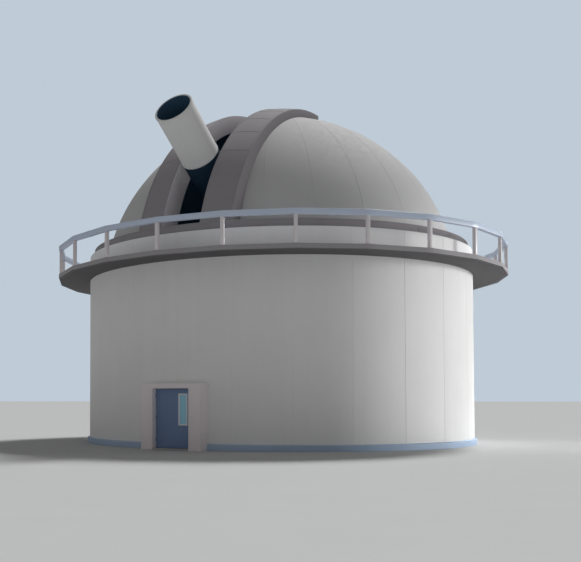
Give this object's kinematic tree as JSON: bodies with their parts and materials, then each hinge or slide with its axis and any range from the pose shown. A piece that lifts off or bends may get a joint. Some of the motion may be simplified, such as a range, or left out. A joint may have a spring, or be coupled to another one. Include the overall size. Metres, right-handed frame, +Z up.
{
  "type": "observatory dome building",
  "caption": "Round white observatory with a door portal, a railed balcony and a turning grey dome whose open slit holds a telescope.",
  "frame": {"origin": "on the drum's axis at ground level", "axes": "+Z up; the door and, at rest, the dome's slit face -Y"},
  "size_m": [18.12, 18.12, 13.5128],
  "materials": {
    "wall_render": "white painted render on masonry, matt",
    "portal_render": "light grey painted render, matt",
    "plinth_paint": "blue-grey painted plinth, matt",
    "concrete": "floated concrete",
    "deck_paint": "grey deck coating on concrete, matt",
    "rail_paint": "pale blue-grey paint, satin",
    "track_steel": "worn machined steel",
    "band_paint": "mid grey paint, satin",
    "dome_paint": "light grey paint, satin",
    "tube_paint": "white paint, satin",
    "mount_paint": "dark grey machine paint, satin",
    "door_paint": "slate blue paint, satin",
    "frame_paint": "light grey anodised frame",
    "door_glass": "light blue clear glass",
    "handle_steel": "brushed steel"
  },
  "bodies": {
    "building": {"floor_slab": "concrete", "plinth_1": "plinth_paint", "plinth_2": "plinth_paint", "plinth_3": "plinth_paint", "drum_wall_1": "wall_render", "drum_wall_2": "wall_render", "drum_wall_3": "wall_render", "drum_wall_4": "wall_render", "drum_wall_5": "wall_render", "drum_wall_door_left": "wall_render", "drum_wall_door_right": "wall_render", "drum_wall_over_door": "wall_render", "portal_jamb_left": "portal_render", "portal_jamb_right": "portal_render", "portal_lintel": "portal_render", "door_threshold": "concrete", "balcony_deck": "deck_paint", "balcony_railing_1": "rail_paint", "balcony_railing_2": "rail_paint", "balcony_railing_3": "rail_paint", "balcony_railing_4": "rail_paint", "balcony_railing_5": "rail_paint", "balcony_railing_6": "rail_paint", "dome_track": "track_steel", "telescope_pier": "concrete"},
    "dome": {"dome_base_ring": "band_paint", "dome_shell_left": "dome_paint", "dome_shell_right": "dome_paint", "dome_shell_rear_left": "dome_paint", "dome_shell_rear_right": "dome_paint", "slit_band_left": "band_paint", "slit_band_right": "band_paint", "slit_head": "band_paint"},
    "fork_mount": {"fork_base": "mount_paint", "fork_arm_left": "mount_paint", "fork_arm_right": "mount_paint"},
    "telescope": {"telescope_barrel": "tube_paint", "mirror_cell": "mount_paint", "trunnion_collar": "mount_paint"},
    "door": {"door_leaf": "door_paint", "door_window_frame": "frame_paint", "door_window_glass": "door_glass", "door_handle": "handle_steel", "door_hinge_1": "handle_steel", "door_hinge_2": "handle_steel", "door_hinge_3": "handle_steel"}
  },
  "joints": [
    {"name": "dome_turn", "type": "hinge", "parent": "building", "child": "dome", "pos_m": [0, 0, 7.6], "axis": [0, 0, 1], "continuous": true},
    {"name": "mount_turn", "type": "hinge", "parent": "building", "child": "fork_mount", "pos_m": [0, 0, 2.55], "axis": [0, 0, 1], "continuous": true},
    {"name": "telescope_tilt", "type": "hinge", "parent": "fork_mount", "child": "telescope", "pos_m": [0, 0, 6.07], "axis": [-1, 0, 0], "range_deg": [-15.5, 46.5]},
    {"name": "door_swing", "type": "hinge", "parent": "building", "child": "door", "pos_m": [-0.705, -7.972, 1.08], "axis": [0, 0, -1], "range_deg": [0, 90]}
  ],
  "couplings": [
    {"joint": "mount_turn", "follows": "dome_turn", "ratio": 1}
  ]
}
